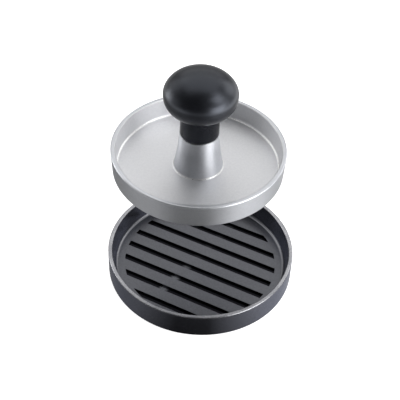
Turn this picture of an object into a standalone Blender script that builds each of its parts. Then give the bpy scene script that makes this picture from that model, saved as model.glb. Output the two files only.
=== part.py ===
"""Patty press: a round dish with a grooved floor and a loose press plate with a knob handle.

Units are metres, +Z is up, and the origin is the centre of the dish's underside. The press plate is drawn
held above the dish and a little to its left, as a hand holds it. It comes down along a straight, nearly upright
path that ends with the plate centred on the dish's floor.
"""

import math

import bmesh
import bpy

MM = 0.001
TAU = 2.0 * math.pi

# Driving dimensions of the dish.
DISH_RADIUS = 60.0 * MM
DISH_HEIGHT = 16.9 * MM
DISH_RIM_WIDTH = 2.6 * MM
DISH_WALL_TAPER = 1.8 * MM          # how far the inner wall leans in between the rim and the floor
DISH_FLOOR_TOP = 3.8 * MM
DISH_FLOOR_FILLET = 1.8 * MM
DISH_RIM_ROUND = 0.7 * MM
DISH_FOOT_ROUND = 1.2 * MM
FOOT_RING_WIDTH = 6.0 * MM
FOOT_RECESS = 0.6 * MM

# Grooves in the dish floor.
GROOVE_COUNT = 8
GROOVE_PITCH = 11.9 * MM
GROOVE_WIDTH = 4.2 * MM
GROOVE_DEPTH = 1.6 * MM
GROOVE_SHIFT = -2.5 * MM            # the set of grooves sits a little in front of the dish's centre
GROOVE_FIELD_RADIUS = 49.5 * MM     # the grooves end on this circle
GROOVE_DIRECTION = math.radians(-25.8)
GROOVE_DRAFT = 0.80                 # width of a groove's bottom as a share of its top

# Press plate, from its own underside up.
PLATE_LIFT = 87.2 * MM              # height of the plate's underside where it is drawn
PLATE_DRIFT = -3.66 * MM            # how far to the side of the dish's axis it is drawn, along X
PLATE_RIM_RADIUS = 52.3 * MM
PLATE_FOOT_RADIUS = 51.5 * MM
PLATE_HEIGHT = 15.1 * MM
PLATE_RIM_WIDTH = 2.9 * MM
PLATE_WALL_TAPER = 0.4 * MM
PLATE_FLOOR = 2.0 * MM
PLATE_FLOOR_FILLET = 1.2 * MM
PLATE_RIM_ROUND = 0.8 * MM
PLATE_FOOT_ROUND = 1.0 * MM

# Centre post, cast with the plate and cored from its top.
POST_FOOT_RADIUS = 14.7 * MM
POST_FOOT_FILLET = 0.9 * MM
POST_TOP_RADIUS = 11.8 * MM
POST_FLARE = 1.6                    # 1 is a straight taper, more keeps the post slender until lower down
POST_HEIGHT = 26.2 * MM
POST_CORE_RADIUS = 9.0 * MM
POST_CORE_FLOOR = 12.0 * MM
POST_TOP_ROUND = 0.4 * MM
COUNTERBORE_RADIUS = 5.6 * MM
COUNTERBORE_DEPTH = 7.2 * MM
SCREW_HOLE_RADIUS = 2.9 * MM

# Handle.
GAP = 0.3 * MM                      # clearance between pieces that touch
COLLAR_FOOT_RADIUS = 11.6 * MM
COLLAR_TOP_RADIUS = 11.4 * MM
COLLAR_HEIGHT = 15.5 * MM
LOWER_SPIGOT = 4.0 * MM             # length of the collar's spigot that centres it in the post
UPPER_SPIGOT = 2.0 * MM             # and of the one that centres the knob on it
UPPER_SPIGOT_RADIUS = 8.0 * MM
COLLAR_EDGE = 0.4 * MM
KNOB_RADIUS = 21.6 * MM
KNOB_WAIST = 54.4 * MM              # height of the widest circle above the plate's underside
KNOB_ABOVE = 14.0 * MM
KNOB_BELOW = 13.4 * MM
KNOB_TOP_POWER = 1.86               # superellipse powers of the upper and lower halves
KNOB_LOWER_POWER = 2.48
INSERT_RADIUS = 4.2 * MM
INSERT_LENGTH = 14.0 * MM
INSERT_FLUTES = 8
SCREW_RADIUS = 2.5 * MM
SCREW_CORE_RADIUS = 2.2 * MM        # the threaded end, drawn at its root
SCREW_HEAD_RADIUS = 4.6 * MM
SCREW_HEAD_HEIGHT = 3.0 * MM
SCREW_SOCKET_RADIUS = 1.75 * MM
SCREW_SOCKET_DEPTH = 1.8 * MM
WASHER_RADIUS = 5.0 * MM
WASHER_THICKNESS = 1.0 * MM
LOCK_WASHER_RADIUS = 4.4 * MM
LOCK_WASHER_THICKNESS = 1.2 * MM

# Heights in the handle, from the plate's underside up.
COLLAR_FOOT = POST_HEIGHT + GAP
COLLAR_TOP = COLLAR_FOOT + COLLAR_HEIGHT
INSERT_FOOT = COLLAR_TOP + UPPER_SPIGOT + 2.0 * GAP

# Facets round each turned piece.
LARGE_STEPS = 64
HANDLE_STEPS = 40
SMALL_STEPS = 24


def empty_the_scene():
    for item in list(bpy.data.objects):
        bpy.data.objects.remove(item, do_unlink=True)
    for group in list(bpy.data.collections):
        bpy.data.collections.remove(group)


def new_collection(name):
    group = bpy.data.collections.new(name)
    bpy.context.scene.collection.children.link(group)
    return group


def new_material(name, colour, metallic, roughness):
    material = bpy.data.materials.new(name)
    material.use_nodes = True
    shader = material.node_tree.nodes["Principled BSDF"]
    shader.inputs["Base Color"].default_value = (*colour, 1.0)
    shader.inputs["Metallic"].default_value = metallic
    shader.inputs["Roughness"].default_value = roughness
    material.diffuse_color = (*colour, 1.0)
    return material


def arc(centre_x, centre_z, radius, start, end, count=3):
    """Points along a round edge of a profile, with angles in degrees from +X towards +Z."""
    angles = [math.radians(start + (end - start) * i / count) for i in range(count + 1)]
    return [(centre_x + radius * math.cos(a), centre_z + radius * math.sin(a)) for a in angles]


def superellipse(radius, half_height, centre_z, power, start, end, count):
    """Points of a rounded bulge: start and end are parameters in degrees, 0 at its widest, 90 on the axis."""
    points = []
    for i in range(count + 1):
        t = math.radians(start + (end - start) * i / count)
        x = radius * max(math.cos(t), 0.0) ** (2.0 / power)
        z = half_height * abs(math.sin(t)) ** (2.0 / power)
        points.append((x, centre_z + math.copysign(z, math.sin(t))))
    return points


def post_side(post_foot, count):
    """Points down the post's side, which flares out towards its foot; the two ends are left out."""
    points = []
    for i in range(1, count):
        drop = i / count
        radius = POST_TOP_RADIUS + (POST_FOOT_RADIUS - POST_TOP_RADIUS) * drop ** POST_FLARE
        points.append((radius, POST_HEIGHT + (post_foot - POST_HEIGHT) * drop))
    return points


def evaluated_mesh(item):
    graph = bpy.context.evaluated_depsgraph_get()
    return bpy.data.meshes.new_from_object(item.evaluated_get(graph), depsgraph=graph)


def smooth(item, angle=32.0):
    """Bakes the modifiers in and shades the round faces smooth, with sharp edges kept."""
    mesh = evaluated_mesh(item)
    item.modifiers.clear()
    item.data = mesh
    mesh.shade_smooth()
    mesh.set_sharp_from_angle(angle=math.radians(angle))


def turned(name, profile, group, steps, ring=False):
    """A turned solid. The profile runs down its outer side; a ring's profile closes on itself."""
    mesh = bpy.data.meshes.new(name)
    links = [(i, i + 1) for i in range(len(profile) - 1)]
    if ring:
        links.append((len(profile) - 1, 0))
    mesh.from_pydata([(x, 0.0, z) for x, z in profile], links, [])
    item = bpy.data.objects.new(name, mesh)
    group.objects.link(item)
    screw = item.modifiers.new("Turn", "SCREW")
    screw.axis = "Z"
    screw.angle = TAU
    screw.steps = steps
    screw.render_steps = steps
    screw.use_merge_vertices = True
    screw.merge_threshold = 0.000001
    return item


def cutter_from(name, maker, group):
    """A cutter whose mesh is filled in by maker(bm)."""
    bm = bmesh.new()
    maker(bm)
    mesh = bpy.data.meshes.new(name)
    bm.to_mesh(mesh)
    bm.free()
    item = bpy.data.objects.new(name, mesh)
    group.objects.link(item)
    item.hide_render = True
    item.display_type = "WIRE"
    return item


def boolean(item, other, operation):
    cut = item.modifiers.new(operation.title(), "BOOLEAN")
    cut.operation = operation
    cut.solver = "EXACT"
    cut.object = other
    bpy.context.view_layer.update()


def finish(item, material, parent, angle=32.0):
    smooth(item, angle)
    item.data.materials.clear()
    item.data.materials.append(material)
    if parent is not None:
        item.parent = parent
    return item


def groove_cutter(cutters):
    """Tapered bars side by side, trimmed to the round field that the grooves fill."""
    above = 1.0 * MM
    height = GROOVE_DEPTH + above
    bottom = DISH_FLOOR_TOP - GROOVE_DEPTH

    def bars(bm):
        for index in range(GROOVE_COUNT):
            offset = (index - (GROOVE_COUNT - 1) / 2.0) * GROOVE_PITCH + GROOVE_SHIFT
            corners = bmesh.ops.create_cube(bm, size=1.0)["verts"]
            for vert in corners:
                low = vert.co.z < 0.0
                width = GROOVE_WIDTH * (GROOVE_DRAFT if low else 1.0 + (1.0 - GROOVE_DRAFT) * above / GROOVE_DEPTH)
                along = vert.co.x * 2.4 * DISH_RADIUS
                across = vert.co.y * width + offset
                vert.co.x = along * math.cos(GROOVE_DIRECTION) - across * math.sin(GROOVE_DIRECTION)
                vert.co.y = along * math.sin(GROOVE_DIRECTION) + across * math.cos(GROOVE_DIRECTION)
                vert.co.z = bottom if low else bottom + height

    def field(bm):
        made = bmesh.ops.create_cone(bm, cap_ends=True, segments=LARGE_STEPS, radius1=GROOVE_FIELD_RADIUS,
                                     radius2=GROOVE_FIELD_RADIUS, depth=3.0 * height)
        bmesh.ops.translate(bm, verts=made["verts"], vec=(0.0, 0.0, DISH_FLOOR_TOP))

    grooves = cutter_from("groove_bars", bars, cutters)
    boolean(grooves, cutter_from("groove_field", field, cutters), "INTERSECT")
    return grooves


def base_dish(parts, cutters, material):
    rim_inner = DISH_RADIUS - DISH_RIM_WIDTH
    wall_foot = rim_inner - DISH_WALL_TAPER
    recess_radius = DISH_RADIUS - DISH_FOOT_ROUND - FOOT_RING_WIDTH
    profile = [(0.0, DISH_FLOOR_TOP)]
    profile += arc(wall_foot - DISH_FLOOR_FILLET, DISH_FLOOR_TOP + DISH_FLOOR_FILLET, DISH_FLOOR_FILLET, -90, -6)
    profile += arc(rim_inner + DISH_RIM_ROUND, DISH_HEIGHT - DISH_RIM_ROUND, DISH_RIM_ROUND, 180, 90, 3)
    profile += arc(DISH_RADIUS - DISH_RIM_ROUND, DISH_HEIGHT - DISH_RIM_ROUND, DISH_RIM_ROUND, 90, 0, 3)
    profile += arc(DISH_RADIUS - DISH_FOOT_ROUND, DISH_FOOT_ROUND, DISH_FOOT_ROUND, 0, -90)
    profile += [(recess_radius, 0.0), (recess_radius - FOOT_RECESS, FOOT_RECESS), (0.0, FOOT_RECESS)]
    dish = turned("base_dish", profile, parts, LARGE_STEPS)
    boolean(dish, groove_cutter(cutters), "DIFFERENCE")
    return finish(dish, material, None)


def press_plate(parts, material, parent):
    rim_inner = PLATE_RIM_RADIUS - PLATE_RIM_WIDTH
    wall_foot = rim_inner - PLATE_WALL_TAPER
    fillet_top = PLATE_FLOOR + PLATE_FLOOR_FILLET
    post_foot = PLATE_FLOOR + POST_FOOT_FILLET
    profile = arc(PLATE_RIM_RADIUS - PLATE_RIM_ROUND, PLATE_HEIGHT - PLATE_RIM_ROUND, PLATE_RIM_ROUND, 90, 0, 3)
    profile += arc(PLATE_FOOT_RADIUS - PLATE_FOOT_ROUND, PLATE_FOOT_ROUND, PLATE_FOOT_ROUND, 0, -90)
    profile += [(COUNTERBORE_RADIUS, 0.0), (COUNTERBORE_RADIUS, COUNTERBORE_DEPTH)]
    profile += [(SCREW_HOLE_RADIUS, COUNTERBORE_DEPTH), (SCREW_HOLE_RADIUS, POST_CORE_FLOOR)]
    profile += [(POST_CORE_RADIUS - 0.8 * MM, POST_CORE_FLOOR), (POST_CORE_RADIUS, POST_HEIGHT)]
    profile += arc(POST_TOP_RADIUS - POST_TOP_ROUND, POST_HEIGHT - POST_TOP_ROUND, POST_TOP_ROUND, 90, 0, 2)
    profile += post_side(post_foot, 6)
    profile += arc(POST_FOOT_RADIUS + POST_FOOT_FILLET, post_foot, POST_FOOT_FILLET, 180, 270, 3)
    profile += arc(wall_foot - PLATE_FLOOR_FILLET, fillet_top, PLATE_FLOOR_FILLET, -90, -2, 3)
    profile += arc(rim_inner + PLATE_RIM_ROUND, PLATE_HEIGHT - PLATE_RIM_ROUND, PLATE_RIM_ROUND, 180, 90, 3)
    return finish(turned("press_plate", profile, parts, LARGE_STEPS, ring=True), material, parent)


def neck_collar(parts, material, parent):
    foot = COLLAR_FOOT
    top = COLLAR_TOP
    lower_spigot = POST_CORE_RADIUS - 2.0 * GAP
    profile = [(UPPER_SPIGOT_RADIUS, top + UPPER_SPIGOT), (UPPER_SPIGOT_RADIUS, top)]
    profile += arc(COLLAR_TOP_RADIUS - COLLAR_EDGE, top - COLLAR_EDGE, COLLAR_EDGE, 90, 0, 2)
    profile += arc(COLLAR_FOOT_RADIUS - COLLAR_EDGE, foot + COLLAR_EDGE, COLLAR_EDGE, 0, -90, 2)
    profile += [(lower_spigot, foot), (lower_spigot - 0.3 * MM, foot - LOWER_SPIGOT)]
    profile += [(SCREW_HOLE_RADIUS, foot - LOWER_SPIGOT), (SCREW_HOLE_RADIUS, top + UPPER_SPIGOT)]
    return finish(turned("neck_collar", profile, parts, HANDLE_STEPS, ring=True), material, parent)


def knob(parts, material, parent):
    foot = COLLAR_TOP + GAP
    recess_radius = UPPER_SPIGOT_RADIUS + GAP
    recess_top = COLLAR_TOP + UPPER_SPIGOT + GAP
    hole_radius = INSERT_RADIUS + GAP
    hole_top = recess_top + INSERT_LENGTH + 1.0 * MM
    reach = (KNOB_WAIST - foot) / KNOB_BELOW
    foot_angle = math.degrees(math.asin(reach ** (KNOB_LOWER_POWER / 2.0)))
    profile = superellipse(KNOB_RADIUS, KNOB_ABOVE, KNOB_WAIST, KNOB_TOP_POWER, 90, 0, 11)
    profile += superellipse(KNOB_RADIUS, KNOB_BELOW, KNOB_WAIST, KNOB_LOWER_POWER, 0, -foot_angle, 8)[1:]
    profile += [(recess_radius, foot), (recess_radius, recess_top), (hole_radius, recess_top)]
    profile += [(hole_radius, hole_top), (0.0, hole_top + 1.0 * MM)]
    return finish(turned("knob", profile, parts, HANDLE_STEPS), material, parent, 45.0)


def threaded_insert(parts, cutters, material, parent):
    foot = INSERT_FOOT
    top = foot + INSERT_LENGTH
    neck = INSERT_RADIUS - 0.6 * MM
    middle = (foot + top) / 2.0
    half_neck = 1.2 * MM
    bore = SCREW_CORE_RADIUS + GAP
    edge = 0.3 * MM
    profile = [(INSERT_RADIUS - edge, top), (INSERT_RADIUS, top - edge), (INSERT_RADIUS, middle + half_neck)]
    profile += [(neck, middle + half_neck), (neck, middle - half_neck), (INSERT_RADIUS, middle - half_neck)]
    profile += [(INSERT_RADIUS, foot), (bore, foot), (bore, top)]
    insert = turned("threaded_insert", profile, parts, SMALL_STEPS, ring=True)

    def flutes(bm):
        for index in range(INSERT_FLUTES):
            angle = TAU * (index + 0.5) / INSERT_FLUTES
            made = bmesh.ops.create_cone(bm, cap_ends=True, segments=6, radius1=0.45 * MM, radius2=0.45 * MM,
                                         depth=1.5 * INSERT_LENGTH)
            place = (INSERT_RADIUS * math.cos(angle), INSERT_RADIUS * math.sin(angle), middle)
            bmesh.ops.translate(bm, verts=made["verts"], vec=place)

    boolean(insert, cutter_from("insert_flutes", flutes, cutters), "DIFFERENCE")
    return finish(insert, material, parent)


def washer_levels():
    """Heights of the stack under the plate's counterbore: flat washer, lock washer, then the screw's head."""
    flat_top = COUNTERBORE_DEPTH - GAP
    lock_top = flat_top - WASHER_THICKNESS - GAP
    head_top = lock_top - LOCK_WASHER_THICKNESS - GAP
    return flat_top, lock_top, head_top


def handle_screw(parts, cutters, material, parent):
    head_top = washer_levels()[2]
    head_foot = head_top - SCREW_HEAD_HEIGHT
    thread_foot = INSERT_FOOT - 2.0 * MM
    tip = INSERT_FOOT + INSERT_LENGTH - 1.0 * MM
    round_edge = 1.2 * MM
    profile = [(0.0, tip), (SCREW_CORE_RADIUS - 0.6 * MM, tip), (SCREW_CORE_RADIUS, tip - 0.8 * MM)]
    profile += [(SCREW_CORE_RADIUS, thread_foot), (SCREW_RADIUS, thread_foot - GAP), (SCREW_RADIUS, head_top)]
    profile += [(SCREW_HEAD_RADIUS, head_top)]
    profile += arc(SCREW_HEAD_RADIUS - round_edge, head_foot + round_edge, round_edge, 0, -90)
    profile += [(0.0, head_foot)]
    screw = turned("handle_screw", profile, parts, SMALL_STEPS)

    def socket(bm):
        made = bmesh.ops.create_cone(bm, cap_ends=True, segments=6, radius1=SCREW_SOCKET_RADIUS,
                                     radius2=SCREW_SOCKET_RADIUS, depth=2.0 * SCREW_SOCKET_DEPTH)
        bmesh.ops.translate(bm, verts=made["verts"], vec=(0.0, 0.0, head_foot))

    boolean(screw, cutter_from("screw_socket", socket, cutters), "DIFFERENCE")
    return finish(screw, material, parent)


def washer_profile(top, thickness, outer, inner, edge):
    foot = top - thickness
    return [(outer - edge, top), (outer, top - edge), (outer, foot + edge), (outer - edge, foot),
            (inner, foot), (inner, top)]


def flat_washer(parts, material, parent):
    profile = washer_profile(washer_levels()[0], WASHER_THICKNESS, WASHER_RADIUS, SCREW_HOLE_RADIUS, 0.2 * MM)
    return finish(turned("flat_washer", profile, parts, SMALL_STEPS, ring=True), material, parent)


def lock_washer(parts, cutters, material, parent):
    top = washer_levels()[1]
    profile = washer_profile(top, LOCK_WASHER_THICKNESS, LOCK_WASHER_RADIUS, SCREW_HOLE_RADIUS, 0.15 * MM)
    washer = turned("lock_washer", profile, parts, SMALL_STEPS, ring=True)

    def split(bm):
        lean = 0.4 * LOCK_WASHER_THICKNESS
        for vert in bmesh.ops.create_cube(bm, size=1.0)["verts"]:
            side = lean if vert.co.z > 0.0 else -lean
            vert.co.x = LOCK_WASHER_RADIUS * (0.9 + vert.co.x)
            vert.co.y = 0.8 * MM * vert.co.y + side
            vert.co.z = top - LOCK_WASHER_THICKNESS / 2.0 + 1.6 * LOCK_WASHER_THICKNESS * vert.co.z

    boolean(washer, cutter_from("washer_split", split, cutters), "DIFFERENCE")
    return finish(washer, material, parent)


def build():
    empty_the_scene()
    parts = new_collection("patty_press")
    cutters = new_collection("cutters")

    coated = new_material("dark_non_stick_coating", (0.045, 0.047, 0.055), 0.6, 0.42)
    cast = new_material("satin_cast_aluminium", (0.66, 0.66, 0.67), 1.0, 0.38)
    plastic = new_material("black_satin_plastic", (0.012, 0.012, 0.014), 0.0, 0.38)
    sleeve = new_material("black_matt_plastic", (0.010, 0.010, 0.012), 0.0, 0.5)
    brass = new_material("brass", (0.62, 0.46, 0.20), 1.0, 0.35)
    steel = new_material("zinc_plated_steel", (0.58, 0.58, 0.60), 1.0, 0.3)

    press = bpy.data.objects.new("press_axis", None)
    press.location = (PLATE_DRIFT, 0.0, PLATE_LIFT)
    parts.objects.link(press)

    base_dish(parts, cutters, coated)
    press_plate(parts, cast, press)
    neck_collar(parts, sleeve, press)
    knob(parts, plastic, press)
    threaded_insert(parts, cutters, brass, press)
    handle_screw(parts, cutters, steel, press)
    flat_washer(parts, steel, press)
    lock_washer(parts, cutters, steel, press)
    bpy.context.view_layer.update()


build()
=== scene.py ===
"""Patty press: a fine turned model and its materials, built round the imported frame."""

import math

import bmesh
import bpy
from mathutils import Matrix, Vector


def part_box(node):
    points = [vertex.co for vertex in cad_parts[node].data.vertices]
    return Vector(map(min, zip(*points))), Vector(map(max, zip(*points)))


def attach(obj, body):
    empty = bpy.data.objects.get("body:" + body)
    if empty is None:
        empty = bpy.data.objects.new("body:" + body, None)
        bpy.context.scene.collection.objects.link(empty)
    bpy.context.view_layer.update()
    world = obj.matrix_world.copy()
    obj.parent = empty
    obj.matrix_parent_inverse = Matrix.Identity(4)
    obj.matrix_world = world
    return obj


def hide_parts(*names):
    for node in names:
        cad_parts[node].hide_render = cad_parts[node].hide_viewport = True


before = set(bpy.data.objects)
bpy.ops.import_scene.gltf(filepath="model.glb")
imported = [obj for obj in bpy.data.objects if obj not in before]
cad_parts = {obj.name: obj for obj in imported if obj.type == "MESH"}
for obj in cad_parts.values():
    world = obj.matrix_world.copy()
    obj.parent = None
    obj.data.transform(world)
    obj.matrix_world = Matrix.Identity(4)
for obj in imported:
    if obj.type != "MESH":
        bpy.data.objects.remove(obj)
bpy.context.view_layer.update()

MM = 0.001
TAU = 2.0 * math.pi

# The frame's own sizes.
DISH_LOW, DISH_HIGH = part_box("base_dish")
PLATE_LOW, PLATE_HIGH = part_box("press_plate")
COLLAR_LOW, COLLAR_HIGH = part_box("neck_collar")
KNOB_LOW, KNOB_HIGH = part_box("knob")
INSERT_LOW, INSERT_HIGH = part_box("threaded_insert")
SCREW_LOW, SCREW_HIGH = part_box("handle_screw")
WASHER_LOW, WASHER_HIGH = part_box("flat_washer")
SPRING_LOW, SPRING_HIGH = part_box("lock_washer")

# Facets round each turned piece.
LARGE_STEPS = 192
HANDLE_STEPS = 128
SMALL_STEPS = 64

# Dish.
DISH_RADIUS = DISH_HIGH.x
DISH_TOP = DISH_HIGH.z
DISH_RIM_INNER = DISH_RADIUS - 2.6 * MM
DISH_WALL_FOOT = DISH_RIM_INNER - 1.8 * MM
DISH_FLOOR = 3.8 * MM
DISH_FILLET = 1.8 * MM
RIM_ROUND = 0.7 * MM
FOOT_ROUND = 1.2 * MM
FOOT_RING_INNER = DISH_RADIUS - 7.2 * MM
FOOT_RECESS = 0.6 * MM

# Grooves in the dish floor.
GROOVE_COUNT = 8
GROOVE_PITCH = 11.9 * MM
GROOVE_SHIFT = -2.5 * MM
GROOVE_WIDTH = 4.2 * MM
GROOVE_DEPTH = 1.6 * MM
GROOVE_FIELD = 49.5 * MM
GROOVE_DIRECTION = math.radians(-25.8)
GROOVE_DRAFT = 0.80
GROOVE_EDGE = 0.22 * MM

# Press plate; heights are from its underside.
PLATE_BASE = PLATE_LOW.z
PRESS_X = (PLATE_LOW.x + PLATE_HIGH.x) / 2.0
PLATE_RIM = PLATE_HIGH.x - PRESS_X
PLATE_FOOT = PLATE_RIM - 0.8 * MM
PLATE_TOP = PLATE_BASE + 15.1 * MM
PLATE_RIM_INNER = PLATE_RIM - 2.9 * MM
PLATE_WALL_FOOT = PLATE_RIM_INNER - 0.4 * MM
PLATE_FLOOR = PLATE_BASE + 2.0 * MM
PLATE_FILLET = 1.2 * MM
PLATE_RIM_ROUND = 0.8 * MM
PLATE_FOOT_ROUND = 1.0 * MM
POST_FOOT = 14.7 * MM
POST_FILLET = 0.9 * MM
POST_FLARE = 1.6
POST_TOP_RADIUS = 11.8 * MM
POST_TOP = PLATE_HIGH.z
POST_ROUND = 0.4 * MM
POST_CORE = 9.0 * MM
POST_CORE_FLOOR = PLATE_BASE + 12.0 * MM
COUNTERBORE = 5.6 * MM
COUNTERBORE_TOP = PLATE_BASE + 7.2 * MM
SCREW_HOLE = 2.9 * MM

# Handle; the radii are round the press's axis.
GAP = 0.3 * MM
COLLAR_FOOT_RADIUS = 11.6 * MM
COLLAR_TOP_RADIUS = 11.4 * MM
COLLAR_EDGE = 0.4 * MM
LOWER_SPIGOT = 8.4 * MM
UPPER_SPIGOT = 8.0 * MM
KNOB_ABOVE = 14.0 * MM
KNOB_BELOW = 13.4 * MM
KNOB_TOP_POWER = 1.86
KNOB_LOWER_POWER = 2.48
KNOB_HOLE = 4.5 * MM
INSERT_BORE = 2.5 * MM
INSERT_KNURLS = 16
INSERT_NECK = 2.4 * MM
SCREW_ROOT = 2.2 * MM
SCREW_SHANK = 2.5 * MM
SCREW_HEAD_HEIGHT = 3.0 * MM
SCREW_HEAD_ROUND = 1.2 * MM
SCREW_SOCKET = 1.75 * MM
THREAD_PITCH = 0.8 * MM
THREAD_DEPTH = 0.22 * MM
SPLIT_WIDTH = 0.8 * MM
SPLIT_LEAN = 0.48 * MM


# ---------------------------------------------------------------- mesh tools


def arc(centre_x, centre_z, radius, start, end, count=8):
    """Points along a round edge, with angles in degrees from +X towards +Z."""
    angles = [math.radians(start + (end - start) * i / count) for i in range(count + 1)]
    return [(centre_x + radius * math.cos(a), centre_z + radius * math.sin(a)) for a in angles]


def superellipse(radius, half_height, centre_z, power, start, end, count):
    """Points of a rounded bulge: start and end are parameters in degrees, 0 at its widest, 90 on the axis."""
    points = []
    for i in range(count + 1):
        t = math.radians(start + (end - start) * i / count)
        x = radius * max(math.cos(t), 0.0) ** (2.0 / power)
        z = half_height * abs(math.sin(t)) ** (2.0 / power)
        points.append((x, centre_z + math.copysign(z, math.sin(t))))
    return points


def post_side(foot_z, count):
    """Points down the post's side, which flares out towards its foot; the two ends are left out."""
    points = []
    for i in range(1, count):
        drop = i / count
        radius = POST_TOP_RADIUS + (POST_FOOT - POST_TOP_RADIUS) * drop ** POST_FLARE
        points.append((radius, POST_TOP + (foot_z - POST_TOP) * drop))
    return points


def new_object(name, bm):
    bmesh.ops.recalc_face_normals(bm, faces=bm.faces)
    mesh = bpy.data.meshes.new(name)
    bm.to_mesh(mesh)
    bm.free()
    item = bpy.data.objects.new(name, mesh)
    bpy.context.scene.collection.objects.link(item)
    return item


def turned(name, profile, steps, ring=False, radius_change=None):
    """A turned body. A ring's profile closes on itself; any other ends on the axis or in a flat cap.
    radius_change(angle, radius, z) gives each vertex its own radius, for knurls and threads."""
    bm = bmesh.new()
    loops = []
    for radius, z in profile:
        if radius < 1e-7:
            loops.append([bm.verts.new((0.0, 0.0, z))])
            continue
        loop = []
        for step in range(steps):
            angle = TAU * step / steps
            r = radius_change(angle, radius, z) if radius_change else radius
            loop.append(bm.verts.new((r * math.cos(angle), r * math.sin(angle), z)))
        loops.append(loop)
    pairs = list(zip(loops, loops[1:]))
    if ring:
        pairs.append((loops[-1], loops[0]))
    for upper, lower in pairs:
        for step in range(steps):
            after = (step + 1) % steps
            corners = [upper[step % len(upper)], upper[after % len(upper)],
                       lower[after % len(lower)], lower[step % len(lower)]]
            bm.faces.new(list(dict.fromkeys(corners)))
    if not ring:
        for loop in (loops[0], loops[-1]):
            if len(loop) > 1:
                bm.faces.new(loop)
    return new_object(name, bm)


def apply_modifiers(item):
    graph = bpy.context.evaluated_depsgraph_get()
    mesh = bpy.data.meshes.new_from_object(item.evaluated_get(graph), depsgraph=graph)
    item.modifiers.clear()
    item.data = mesh


def subtract(item, cutter):
    cut = item.modifiers.new("Cut", "BOOLEAN")
    cut.operation = "DIFFERENCE"
    cut.solver = "EXACT"
    cut.object = cutter
    apply_modifiers(item)
    bpy.data.objects.remove(cutter)


def soften(item, width, sharp=40.0, segments=3):
    """Rounds the edges that are still sharp."""
    bevel = item.modifiers.new("Edge", "BEVEL")
    bevel.limit_method = "ANGLE"
    bevel.angle_limit = math.radians(sharp)
    bevel.width = width
    bevel.segments = segments
    apply_modifiers(item)


def shade(item, angle=40.0):
    item.data.shade_smooth()
    item.data.set_sharp_from_angle(angle=math.radians(angle))
    normals = item.modifiers.new("Normals", "WEIGHTED_NORMAL")
    normals.keep_sharp = True
    apply_modifiers(item)


def place(item, body, node, material):
    item.data.materials.clear()
    item.data.materials.append(material)
    if body == "press":
        item.location.x = PRESS_X
    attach(item, body)
    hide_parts(node)


# ---------------------------------------------------------------- material tools


class Nodes:
    """A small helper that adds nodes to one material and links them."""

    def __init__(self, name):
        self.material = bpy.data.materials.new(name)
        self.material.use_nodes = True
        self.tree = self.material.node_tree
        self.shader = self.tree.nodes["Principled BSDF"]
        self.coordinates = self.tree.nodes.new("ShaderNodeTexCoord").outputs["Object"]

    def link(self, source, target):
        if isinstance(source, (int, float)):
            target.default_value = source
        else:
            self.tree.links.new(source, target)

    def noise(self, scale, detail, roughness=0.55):
        """Noise between 0 and 1; scale is in cells to the metre."""
        node = self.tree.nodes.new("ShaderNodeTexNoise")
        self.tree.links.new(self.coordinates, node.inputs["Vector"])
        node.inputs["Scale"].default_value = scale
        node.inputs["Detail"].default_value = detail
        node.inputs["Roughness"].default_value = roughness
        return node.outputs["Fac"]

    def math(self, operation, first, second=0.0):
        node = self.tree.nodes.new("ShaderNodeMath")
        node.operation = operation
        self.link(first, node.inputs[0])
        self.link(second, node.inputs[1])
        return node.outputs[0]

    def times(self, first, second):
        return self.math("MULTIPLY", first, second)

    def band(self, value, centre, half_width):
        """1 in a narrow band of value round the centre, fading to 0 at its edges."""
        off = self.math("ABSOLUTE", self.math("SUBTRACT", value, centre))
        return self.add_range(off, 0.5 * half_width, half_width, 1.0, 0.0)

    def add_range(self, value, low, high, to_low, to_high):
        """Maps value from low..high to to_low..to_high and holds it there outside that range."""
        node = self.tree.nodes.new("ShaderNodeMapRange")
        node.clamp = True
        sockets = node.inputs
        self.link(value, sockets["Value"])
        self.link(low, sockets["From Min"])
        self.link(high, sockets["From Max"])
        self.link(to_low, sockets["To Min"])
        self.link(to_high, sockets["To Max"])
        return node.outputs["Result"]

    def mix(self, factor, first, second):
        """Mixes two colours, given as RGB triples or sockets."""
        node = self.tree.nodes.new("ShaderNodeMix")
        node.data_type = "RGBA"
        self.link(factor, node.inputs["Factor"])
        for name, value in (("A", first), ("B", second)):
            socket = [s for s in node.inputs if s.name == name and s.type == "RGBA"][0]
            if isinstance(value, tuple):
                socket.default_value = (*value, 1.0)
            else:
                self.tree.links.new(value, socket)
        return [s for s in node.outputs if s.type == "RGBA"][0]

    def split(self):
        """The X, Y and Z of a point, in the piece's own frame."""
        node = self.tree.nodes.new("ShaderNodeSeparateXYZ")
        self.link(self.coordinates, node.inputs[0])
        return node.outputs

    def radius(self):
        """Distance from the piece's own axis."""
        x, y, _ = self.split()
        return self.math("SQRT", self.math("ADD", self.times(x, x), self.times(y, y)))

    def height(self):
        """Height above the dish's underside in the rest pose."""
        return self.split()[2]

    def bump(self, height, distance, strength, normal=None):
        node = self.tree.nodes.new("ShaderNodeBump")
        self.link(height, node.inputs["Height"])
        node.inputs["Distance"].default_value = distance
        node.inputs["Strength"].default_value = strength
        if normal is not None:
            self.link(normal, node.inputs["Normal"])
        return node.outputs["Normal"]


# ---------------------------------------------------------------- materials

PLASTIC_BLACK = (0.002, 0.002, 0.003)


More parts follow.
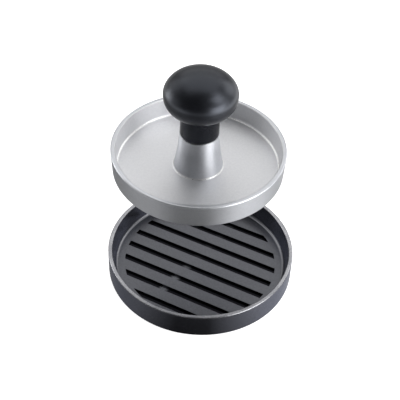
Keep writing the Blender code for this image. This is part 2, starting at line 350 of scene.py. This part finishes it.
def cast_aluminium():
    """Satin press plate: blasted floor, greyer turned walls and post, bright tool-cut fillets."""
    n = Nodes("satin_cast_aluminium")
    grain = n.noise(2600.0, 2.0, 0.6)
    mottle = n.noise(650.0, 3.0, 0.6)
    radius, height = n.radius(), n.height()
    wall_line = n.band(radius, PLATE_WALL_FOOT - 0.55 * PLATE_FILLET, 0.55 * PLATE_FILLET)
    post_line = n.band(radius, POST_FOOT + 0.5 * POST_FILLET, 0.55 * POST_FILLET)
    low = n.add_range(height, PLATE_FLOOR + 0.7 * PLATE_FILLET, PLATE_FLOOR + PLATE_FILLET, 1.0, 0.0)
    cut = n.times(n.math("MAXIMUM", wall_line, post_line), low)
    above = n.add_range(height, PLATE_FLOOR + 0.3 * MM, PLATE_FLOOR + PLATE_FILLET, 0.0, 1.0)
    post = n.times(above, n.math("LESS_THAN", radius, POST_FOOT + POST_FILLET))
    wall = n.math("GREATER_THAN", radius, PLATE_WALL_FOOT + 1.0 * MM)
    machined = n.math("MAXIMUM", post, wall)
    tone = n.math("ADD", n.times(grain, 0.5), n.times(mottle, 0.5))
    tone = n.add_range(tone, 0.36, 0.64, 0.0, 1.0)
    blasted = n.mix(tone, (0.77, 0.775, 0.795), (0.84, 0.845, 0.86))
    turned_face = n.mix(tone, (0.67, 0.685, 0.72), (0.73, 0.745, 0.78))
    face = n.mix(machined, blasted, turned_face)
    n.link(n.mix(cut, face, (0.94, 0.94, 0.94)), n.shader.inputs["Base Color"])
    n.shader.inputs["Metallic"].default_value = 1.0
    smoother = n.math("MAXIMUM", n.times(wall, 0.13), n.times(cut, 0.18))
    rough = n.math("SUBTRACT", n.add_range(grain, 0.35, 0.65, 0.44, 0.52), smoother)
    n.link(n.math("ADD", rough, n.times(post, 0.10)), n.shader.inputs["Roughness"])
    # The turning marks spread the post's highlights up and down, not round it.
    tangent = n.tree.nodes.new("ShaderNodeTangent")
    tangent.direction_type = "RADIAL"
    tangent.axis = "Z"
    n.link(tangent.outputs["Tangent"], n.shader.inputs["Tangent"])
    n.shader.inputs["Anisotropic Rotation"].default_value = 0.25
    n.link(n.times(post, 0.8), n.shader.inputs["Anisotropic"])
    turning = n.times(n.math("SINE", n.times(height, TAU / (0.4 * MM))), machined)
    blasting = n.bump(grain, 0.06 * MM, 0.6)
    n.link(n.bump(turning, 0.005 * MM, 0.5, blasting), n.shader.inputs["Normal"])
    return n.material


def dark_coating():
    """Non-stick coating: dark grey with a fine speckle and glossy in the grooves, which are painted black as
    shade;
    pale painted highlights lie along its edges and along a streak that crosses the grooves."""
    n = Nodes("dark_non_stick_coating")
    speckle = n.noise(2400.0, 2.0, 0.7)
    mottle = n.noise(750.0, 3.0, 0.6)
    cloud = n.noise(70.0, 4.0)
    radius, height = n.radius(), n.height()
    inside = n.math("LESS_THAN", radius, GROOVE_FIELD + 0.4 * MM)
    # Painted shade: the groove floors and their lower walls are painted near black, and are glossier than the
    # strips.
    painted_groove_shade = n.times(n.add_range(height, DISH_FLOOR - 0.55 * MM, DISH_FLOOR - 0.10 * MM, 1.0, 0.0), inside)
    painted_groove_shade = n.times(painted_groove_shade, n.math("GREATER_THAN", height, DISH_FLOOR - GROOVE_DEPTH - 0.3 * MM))
    # Painted highlight: along a streak across the grooves, the groove floors keep the coating's grey instead
    # of the painted black shade.
    painted_groove_shade = n.times(painted_groove_shade, n.math("SUBTRACT", 1.0, painted_highlight_streak(n)))
    # Painted highlights: pale lines along the wall's foot, fainter, and along the rim, made patchy by the
    # cloud noise.
    wall_line = n.band(radius, DISH_WALL_FOOT - 0.45 * DISH_FILLET, 0.4 * DISH_FILLET)
    wall_line = n.times(wall_line, n.add_range(height, DISH_FLOOR, DISH_FLOOR + DISH_FILLET, 1.0, 0.0))
    rim_line = n.add_range(height, DISH_TOP - 0.9 * RIM_ROUND, DISH_TOP - 0.2 * RIM_ROUND, 0.0, 1.0)
    edges = n.math("MAXIMUM", n.times(wall_line, 0.35), rim_line)
    painted_edge_highlight = n.times(edges, n.add_range(cloud, 0.35, 0.65, 0.55, 0.95))
    tone = n.math("ADD", n.times(speckle, 0.5), n.times(mottle, 0.5))
    tone = n.add_range(tone, 0.30, 0.70, 0.0, 1.0)
    inner = n.mix(tone, (0.110, 0.113, 0.124), (0.168, 0.172, 0.188))
    outer = n.mix(tone, (0.122, 0.126, 0.150), (0.192, 0.198, 0.230))
    surface = n.mix(n.math("GREATER_THAN", radius, DISH_WALL_FOOT), inner, outer)
    # The pale grey here is the painted edge highlight.
    surface = n.mix(painted_edge_highlight, surface, (0.55, 0.55, 0.57))
    # The near black here is the painted groove shade.
    n.link(n.mix(painted_groove_shade, surface, (0.006, 0.006, 0.008)), n.shader.inputs["Base Color"])
    n.shader.inputs["Metallic"].default_value = 0.90
    n.shader.inputs["Specular Tint"].default_value = (0.68, 0.70, 0.78, 1.0)
    rough = n.add_range(n.math("ADD", speckle, cloud), 0.7, 1.3, 0.28, 0.33)
    rough = n.math("SUBTRACT", rough, n.times(n.math("GREATER_THAN", radius, DISH_WALL_FOOT), 0.08))
    rough = n.math("ADD", rough, n.times(painted_edge_highlight, 0.06))
    n.link(n.math("SUBTRACT", rough, n.times(painted_groove_shade, 0.10)), n.shader.inputs["Roughness"])
    n.link(n.bump(speckle, 0.05 * MM, 0.5), n.shader.inputs["Normal"])
    return n.material


def painted_highlight_streak(n):
    """1 along a thin painted highlight streak across the grooves, fading towards its far end."""
    start, direction = (-22.0 * MM, -23.5 * MM), math.radians(54.0)
    x, y, _ = n.split()
    x, y = n.math("SUBTRACT", x, start[0]), n.math("SUBTRACT", y, start[1])
    along = n.math("ADD", n.times(x, math.cos(direction)), n.times(y, math.sin(direction)))
    across = n.math("SUBTRACT", n.times(y, math.cos(direction)), n.times(x, math.sin(direction)))
    core = n.add_range(n.math("ABSOLUTE", across), 1.0 * MM, 3.4 * MM, 1.0, 0.0)
    near_end = n.add_range(along, -8.0 * MM, -4.0 * MM, 0.0, 1.0)
    far_end = n.add_range(along, 14.0 * MM, 32.0 * MM, 1.0, 0.1)
    return n.times(core, n.times(far_end, near_end))


def black_plastic(name, low, high, scale, specular):
    """Moulded satin plastic: a fine spark-eroded texture and slightly uneven gloss. Its roughness goes from
    low to high, and scale is the texture's, in cells to the metre."""
    n = Nodes(name)
    texture = n.noise(scale, 2.0, 0.6)
    cloud = n.noise(90.0, 3.0)
    lighter = tuple(c * 1.5 for c in PLASTIC_BLACK)
    n.shader.inputs["Specular IOR Level"].default_value = specular
    n.shader.inputs["Specular Tint"].default_value = (0.80, 0.86, 1.0, 1.0)
    n.link(n.mix(cloud, PLASTIC_BLACK, lighter), n.shader.inputs["Base Color"])
    n.link(n.add_range(n.math("ADD", n.times(texture, 0.5), cloud), 0.5, 1.0, low, high),
           n.shader.inputs["Roughness"])
    n.link(n.bump(texture, 0.03 * MM, 0.5), n.shader.inputs["Normal"])
    return n.material


def machined_metal(name, dark, light, low, high):
    """Turned metal: fine rings round the axis and a slight stain, between two colours and two roughnesses."""
    n = Nodes(name)
    rings = n.math("SINE", n.times(n.height(), TAU / (0.25 * MM)))
    stain = n.noise(260.0, 4.0)
    n.link(n.mix(n.add_range(stain, 0.35, 0.65, 0.0, 1.0), dark, light), n.shader.inputs["Base Color"])
    n.shader.inputs["Metallic"].default_value = 1.0
    n.link(n.add_range(stain, 0.3, 0.7, low, high), n.shader.inputs["Roughness"])
    n.link(n.bump(rings, 0.004 * MM, 0.4), n.shader.inputs["Normal"])
    return n.material


# ---------------------------------------------------------------- pieces


def groove_cutter():
    """Tapered bars side by side, each trimmed at both ends by the circle that bounds the grooves."""
    bm = bmesh.new()
    above = 1.0 * MM
    top_width = GROOVE_WIDTH * (1.0 + (1.0 - GROOVE_DRAFT) * above / GROOVE_DEPTH)
    end_points = 12
    for index in range(GROOVE_COUNT):
        offset = (index - (GROOVE_COUNT - 1) / 2.0) * GROOVE_PITCH + GROOVE_SHIFT
        layers = []
        levels = ((DISH_FLOOR - GROOVE_DEPTH, GROOVE_WIDTH * GROOVE_DRAFT), (DISH_FLOOR + above, top_width))
        for z, width in levels:
            layer = []
            for side in (1.0, -1.0):
                for k in range(end_points + 1):
                    across = offset - side * width * (k / end_points - 0.5)
                    along = side * math.sqrt(GROOVE_FIELD ** 2 - across ** 2)
                    x = along * math.cos(GROOVE_DIRECTION) - across * math.sin(GROOVE_DIRECTION)
                    y = along * math.sin(GROOVE_DIRECTION) + across * math.cos(GROOVE_DIRECTION)
                    layer.append(bm.verts.new((x, y, z)))
            layers.append(layer)
        low, high = layers
        bm.faces.new(low)
        bm.faces.new(high)
        for k in range(len(low)):
            after = (k + 1) % len(low)
            bm.faces.new((low[k], low[after], high[after], high[k]))
    return new_object("groove_cutter", bm)


def make_dish(material):
    profile = arc(DISH_WALL_FOOT - DISH_FILLET, DISH_FLOOR + DISH_FILLET, DISH_FILLET, -90, -6, 12)
    profile += arc(DISH_RIM_INNER + RIM_ROUND, DISH_TOP - RIM_ROUND, RIM_ROUND, 180, 90)
    profile += arc(DISH_RADIUS - RIM_ROUND, DISH_TOP - RIM_ROUND, RIM_ROUND, 90, 0)
    profile += arc(DISH_RADIUS - FOOT_ROUND, FOOT_ROUND, FOOT_ROUND, 0, -90)
    profile += arc(FOOT_RING_INNER, FOOT_RECESS / 2.0, FOOT_RECESS / 2.0, -90, -180, 4)
    profile += arc(FOOT_RING_INNER - FOOT_RECESS, FOOT_RECESS / 2.0, FOOT_RECESS / 2.0, 0, 90, 4)[1:]
    dish = turned("dish", profile, LARGE_STEPS)
    subtract(dish, groove_cutter())
    soften(dish, GROOVE_EDGE)
    shade(dish)
    place(dish, "base", "base_dish", material)


def make_plate(material):
    fillet_top = PLATE_FLOOR + PLATE_FILLET
    profile = arc(PLATE_RIM - PLATE_RIM_ROUND, PLATE_TOP - PLATE_RIM_ROUND, PLATE_RIM_ROUND, 90, 0)
    profile += arc(PLATE_FOOT - PLATE_FOOT_ROUND, PLATE_BASE + PLATE_FOOT_ROUND, PLATE_FOOT_ROUND, 0, -90)
    profile += [(COUNTERBORE + 0.3 * MM, PLATE_BASE), (COUNTERBORE, PLATE_BASE + 0.3 * MM)]
    profile += [(COUNTERBORE, COUNTERBORE_TOP), (SCREW_HOLE, COUNTERBORE_TOP), (SCREW_HOLE, POST_CORE_FLOOR)]
    profile += [(POST_CORE - 0.8 * MM, POST_CORE_FLOOR), (POST_CORE, POST_TOP)]
    profile += arc(POST_TOP_RADIUS - POST_ROUND, POST_TOP - POST_ROUND, POST_ROUND, 90, 0, 5)
    profile += post_side(PLATE_FLOOR + POST_FILLET, 24)
    profile += arc(POST_FOOT + POST_FILLET, PLATE_FLOOR + POST_FILLET, POST_FILLET, 180, 270)
    profile += arc(PLATE_WALL_FOOT - PLATE_FILLET, fillet_top, PLATE_FILLET, -90, -2)
    profile += arc(PLATE_RIM_INNER + PLATE_RIM_ROUND, PLATE_TOP - PLATE_RIM_ROUND, PLATE_RIM_ROUND, 180, 90)
    plate = turned("plate", profile, LARGE_STEPS, ring=True)
    shade(plate)
    place(plate, "press", "press_plate", material)


def make_collar(material):
    foot, top = POST_TOP + GAP, KNOB_LOW.z - GAP
    spigot_low, spigot_high, edge = COLLAR_LOW.z, COLLAR_HIGH.z, COLLAR_EDGE
    profile = [(UPPER_SPIGOT - 0.3 * MM, spigot_high), (UPPER_SPIGOT, spigot_high - 0.3 * MM)]
    profile += [(UPPER_SPIGOT, top)]
    profile += arc(COLLAR_TOP_RADIUS - edge, top - edge, edge, 90, 0, 5)
    profile += arc(COLLAR_FOOT_RADIUS - edge, foot + edge, edge, 0, -90, 5)
    profile += [(LOWER_SPIGOT, foot), (LOWER_SPIGOT - 0.3 * MM, spigot_low)]
    profile += [(SCREW_HOLE, spigot_low), (SCREW_HOLE, spigot_high)]
    collar = turned("collar", profile, HANDLE_STEPS, ring=True)
    shade(collar)
    place(collar, "press", "neck_collar", material)


def make_knob(material):
    radius, foot, waist = KNOB_HIGH.x - PRESS_X, KNOB_LOW.z, KNOB_HIGH.z - KNOB_ABOVE
    foot_angle = math.degrees(math.asin(((waist - foot) / KNOB_BELOW) ** (KNOB_LOWER_POWER / 2.0)))
    recess, recess_top = UPPER_SPIGOT + GAP, COLLAR_HIGH.z + GAP
    profile = superellipse(radius, KNOB_ABOVE, waist, KNOB_TOP_POWER, 90, 0, 40)
    profile += superellipse(radius, KNOB_BELOW, waist, KNOB_LOWER_POWER, 0, -foot_angle, 32)[1:]
    profile += [(recess, foot), (recess, recess_top), (KNOB_HOLE, recess_top)]
    profile += [(KNOB_HOLE, INSERT_HIGH.z + 0.7 * MM), (0.0, INSERT_HIGH.z + 1.7 * MM)]
    knob = turned("knob_ball", profile, HANDLE_STEPS)
    shade(knob)
    place(knob, "press", "knob", material)


def make_insert(material):
    """Brass insert: two knurled bands with a plain neck between them."""
    outer, foot, top = INSERT_HIGH.x - PRESS_X, INSERT_LOW.z, INSERT_HIGH.z
    middle, half_neck, bore = (foot + top) / 2.0, INSERT_NECK / 2.0, INSERT_BORE

    def knurl(angle, radius, z):
        band = radius > outer - 0.05 * MM
        return radius - (0.35 * MM * abs(math.sin(angle * INSERT_KNURLS / 2.0)) if band else 0.0)

    profile = [(outer - 0.5 * MM, top), (outer, top - 0.4 * MM), (outer, middle + half_neck)]
    profile += [(outer - 0.6 * MM, middle + half_neck), (outer - 0.6 * MM, middle - half_neck)]
    profile += [(outer, middle - half_neck), (outer, foot + 0.4 * MM), (outer - 0.5 * MM, foot)]
    profile += [(bore + 0.3 * MM, foot), (bore, foot + 0.3 * MM), (bore, top)]
    insert = turned("insert", profile, SMALL_STEPS * 2, ring=True, radius_change=knurl)
    shade(insert, 30.0)
    place(insert, "press", "threaded_insert", material)


def make_screw(material):
    """Socket-head screw with a real helical thread on its end."""
    head, head_low, tip = SCREW_HIGH.x - PRESS_X, SCREW_LOW.z, SCREW_HIGH.z
    head_top = head_low + SCREW_HEAD_HEIGHT
    thread_foot, thread_top = INSERT_LOW.z - 2.0 * MM, tip - 0.6 * MM

    def thread(angle, radius, z):
        if z <= thread_foot or z >= tip - 0.5 * MM or radius < SCREW_ROOT - 0.3 * MM:
            return radius
        turn = ((z - thread_foot) / THREAD_PITCH - angle / TAU) % 1.0
        return radius - THREAD_DEPTH * (1.0 - abs(2.0 * turn - 1.0))

    rings = int((thread_top - thread_foot) / (THREAD_PITCH / 8.0))
    profile = [(0.0, tip), (SCREW_ROOT - 0.6 * MM, tip)]
    profile += [(SCREW_ROOT, thread_top - (thread_top - thread_foot) * i / rings) for i in range(rings + 1)]
    profile += [(SCREW_SHANK, thread_foot - 0.3 * MM), (SCREW_SHANK, head_top)]
    profile += [(head - 0.2 * MM, head_top), (head, head_top - 0.2 * MM)]
    profile += arc(head - SCREW_HEAD_ROUND, head_low + SCREW_HEAD_ROUND, SCREW_HEAD_ROUND, 0, -90)
    profile += [(0.0, head_low)]
    screw = turned("screw", profile, SMALL_STEPS, radius_change=thread)
    bm = bmesh.new()
    bmesh.ops.create_cone(bm, cap_ends=True, segments=6, radius1=SCREW_SOCKET, radius2=SCREW_SOCKET,
                          depth=3.6 * MM)
    bmesh.ops.translate(bm, verts=bm.verts, vec=(0.0, 0.0, head_low))
    subtract(screw, new_object("socket_cutter", bm))
    shade(screw, 35.0)
    place(screw, "press", "handle_screw", material)


def make_washer(material):
    low, high, outer, hole, edge = WASHER_LOW.z, WASHER_HIGH.z, WASHER_HIGH.x - PRESS_X, SCREW_HOLE, 0.2 * MM
    profile = arc(outer - edge, high - edge, edge, 90, 0, 4) + arc(outer - edge, low + edge, edge, 0, -90, 4)
    profile += [(hole + edge, low), (hole, low + edge), (hole, high - edge), (hole + edge, high)]
    washer = turned("washer", profile, SMALL_STEPS, ring=True)
    shade(washer)
    place(washer, "press", "flat_washer", material)


def make_spring_washer(material):
    """A split ring: the split leans, as it does when cut across a coil."""
    low, high, outer, hole, edge = SPRING_LOW.z, SPRING_HIGH.z, SPRING_HIGH.x - PRESS_X, SCREW_HOLE, 0.12 * MM
    profile = arc(outer - edge, high - edge, edge, 90, 0, 3) + arc(outer - edge, low + edge, edge, 0, -90, 3)
    profile += [(hole, low), (hole, high)]
    ring = turned("spring_washer", profile, SMALL_STEPS, ring=True)
    bm = bmesh.new()
    for vert in bmesh.ops.create_cube(bm, size=1.0)["verts"]:
        lean = math.copysign(SPLIT_LEAN, vert.co.z)
        vert.co = Vector((outer * (0.9 + vert.co.x), SPLIT_WIDTH * vert.co.y + lean,
                          (low + high) / 2.0 + 1.9 * MM * vert.co.z))
    subtract(ring, new_object("split_cutter", bm))
    shade(ring)
    place(ring, "press", "lock_washer", material)


# ---------------------------------------------------------------- studio

# Brightness of the floor: as the camera sees it, then as it is reflected.
FLOOR_GLOW = 0.92
FLOOR_FRONT = 0.15
FLOOR_FRONT_NEAR = 0.02
FLOOR_RIGHT = 0.8
FLOOR_LEFT = 0.32
FLOOR_BACK = 0.6
FLOOR_BACK_NEAR = 1.3
FLOOR_PAST = 0.6    # share left of FLOOR_RIGHT and FLOOR_LEFT past the object's sides
FLOOR_FAR = 3.8     # how many times brighter the front and sides are far away
FLOOR_HALF_SIZE = 4.0
FLOOR_DROP = 0.2 * MM

WORLD_LIGHT = 0.06
LIGHT_AIM = Vector((0.0, 0.0, 60.0 * MM))
BOX_DISTANCE = 0.9
# name: (azimuth, elevation, (width, height), brightness), with the azimuth as in outward()
SOFT_BOXES = {
    "top": (180.0, 65.0, (1.1, 0.9), 1.0),
    "back": (180.0, 25.0, (0.9, 0.3), 0.8),
    "left_back": (235.0, 30.0, (0.5, 0.6), 0.8),
    "left_low": (252.0, 7.0, (0.35, 0.35), 3.6),
    "left": (280.0, 20.0, (0.5, 0.4), 0.4),
    "right_back": (125.0, 25.0, (0.5, 0.5), 1.8),
    "right": (80.0, 20.0, (0.4, 0.4), 1.5),
    "right_high": (72.0, 48.0, (0.4, 0.4), 3.3),
    "right_front": (52.0, 14.0, (0.6, 0.4), 4.6),
}


def area_light(name, place_at, facing, size, brightness):
    """A rectangular light, given by its brightness, so that its size can change without its glare."""
    data = bpy.data.lights.new(name, "AREA")
    data.shape = "RECTANGLE"
    data.size, data.size_y = size
    data.energy = brightness * math.pi * size[0] * size[1]
    item = bpy.data.objects.new(name, data)
    item.location = place_at
    item.rotation_euler = Vector(facing).to_track_quat("-Z", "Y").to_euler()
    item.visible_camera = False
    bpy.context.scene.collection.objects.link(item)


def outward(azimuth, elevation):
    """A direction away from the object: azimuth 0 is to its front and 90 to its right."""
    turn, lift = math.radians(azimuth), math.radians(elevation)
    level = math.cos(lift)
    return Vector((math.sin(turn) * level, -math.cos(turn) * level, math.sin(lift)))


def make_lights():
    for name, (azimuth, elevation, size, brightness) in SOFT_BOXES.items():
        away = outward(azimuth, elevation)
        area_light(name, LIGHT_AIM + away * BOX_DISTANCE, -away, size, brightness)


def make_floor():
    """A pale floor that glows. The camera sees it nearly white. To other rays its colour is near black and
    its glow is
    painted like paper between soft boxes: bright on the right and close behind, dimmer on the left, and dark
    in front.
    Here angle is in degrees from the front, positive on the right, and reach is in dish radii from the axis."""
    bm = bmesh.new()
    bmesh.ops.create_grid(bm, x_segments=8, y_segments=8, size=FLOOR_HALF_SIZE)
    floor = new_object("floor", bm)
    floor.location.z = DISH_LOW.z - FLOOR_DROP
    n = Nodes("pale_floor")
    x, y, _ = n.split()
    angle = n.times(n.math("ARCTAN2", x, n.times(y, -1.0)), 360.0 / TAU)
    reach = n.math("DIVIDE", n.radius(), DISH_RADIUS)
    right = n.add_range(angle, 6.0, 48.0, 0.0, FLOOR_RIGHT)
    left = n.add_range(angle, -45.0, -12.0, FLOOR_LEFT, 0.0)
    past = n.add_range(n.math("ABSOLUTE", angle), 70.0, 108.0, 1.0, FLOOR_PAST)
    front = n.add_range(reach, 1.3, 2.2, FLOOR_FRONT_NEAR, FLOOR_FRONT)
    near = n.math("MAXIMUM", front, n.times(n.math("MAXIMUM", left, right), past))
    side = n.times(near, n.add_range(reach, 4.5, 8.0, 1.0, FLOOR_FAR))
    back = n.add_range(reach, 2.8, 4.0, FLOOR_BACK_NEAR, FLOOR_BACK)
    behind = n.add_range(n.math("DIVIDE", y, n.radius()), 0.6, 0.95, 0.0, 1.0)
    reflected = n.add_range(behind, 0.0, 1.0, side, back)
    # Painted reflections: the glow that other rays see differs from what the camera sees.
    path = n.tree.nodes.new("ShaderNodeLightPath")
    seen = path.outputs["Is Camera Ray"]
    n.link(n.mix(seen, (0.02, 0.02, 0.02), (0.9, 0.9, 0.9)), n.shader.inputs["Base Color"])
    n.shader.inputs["Roughness"].default_value = 1.0
    n.shader.inputs["Specular IOR Level"].default_value = 0.0
    n.shader.inputs["Emission Color"].default_value = (1.0, 1.0, 1.0, 1.0)
    n.link(n.add_range(seen, 0.0, 1.0, reflected, FLOOR_GLOW), n.shader.inputs["Emission Strength"])
    n.material.cycles.emission_sampling = "NONE"
    floor.data.materials.append(n.material)


def make_world():
    world = bpy.data.worlds.new("studio")
    bpy.context.scene.world = world
    world.use_nodes = True
    tree = world.node_tree
    background = tree.nodes["Background"]
    background.inputs["Color"].default_value = (1.0, 1.0, 1.0, 1.0)
    path = tree.nodes.new("ShaderNodeLightPath")
    strength = tree.nodes.new("ShaderNodeMapRange")
    strength.inputs["To Min"].default_value = WORLD_LIGHT
    strength.inputs["To Max"].default_value = 1.0
    tree.links.new(path.outputs["Is Camera Ray"], strength.inputs["Value"])
    tree.links.new(strength.outputs["Result"], background.inputs["Strength"])


def make_camera():
    """A long lens, ten dish radii from its target and 43.6 degrees above the horizon, rolled a little."""
    elevation = math.radians(43.6)
    roll = math.radians(2.4)
    distance = 10.0 * DISH_RADIUS
    target = Vector((-0.0283 * DISH_RADIUS, 0.0, 0.9818 * DISH_RADIUS))
    back = Vector((0.0, -math.cos(elevation), math.sin(elevation)))
    data = bpy.data.cameras.new("camera")
    data.sensor_width = 36.0
    data.lens = 86.81
    data.clip_start, data.clip_end = 0.01, 20.0
    camera = bpy.data.objects.new("camera", data)
    camera.location = target + back * distance
    level = (-back).to_track_quat("-Z", "Y").to_matrix()
    camera.rotation_euler = (Matrix.Rotation(roll, 3, back) @ level).to_euler()
    bpy.context.scene.collection.objects.link(camera)
    bpy.context.scene.camera = camera


make_camera()
make_dish(dark_coating())
make_plate(cast_aluminium())
make_collar(black_plastic("matt_black_plastic", 0.26, 0.34, 1800.0, 0.5))
make_knob(black_plastic("satin_black_plastic", 0.31, 0.37, 2200.0, 0.8))
make_insert(machined_metal("turned_brass", (0.62, 0.44, 0.18), (0.80, 0.62, 0.30), 0.25, 0.40))
zinc = machined_metal("bright_zinc", (0.52, 0.53, 0.55), (0.74, 0.74, 0.76), 0.22, 0.36)
make_screw(zinc)
make_washer(zinc)
make_spring_washer(zinc)
make_floor()
make_world()
make_lights()
bpy.context.scene.view_settings.view_transform = "Standard"
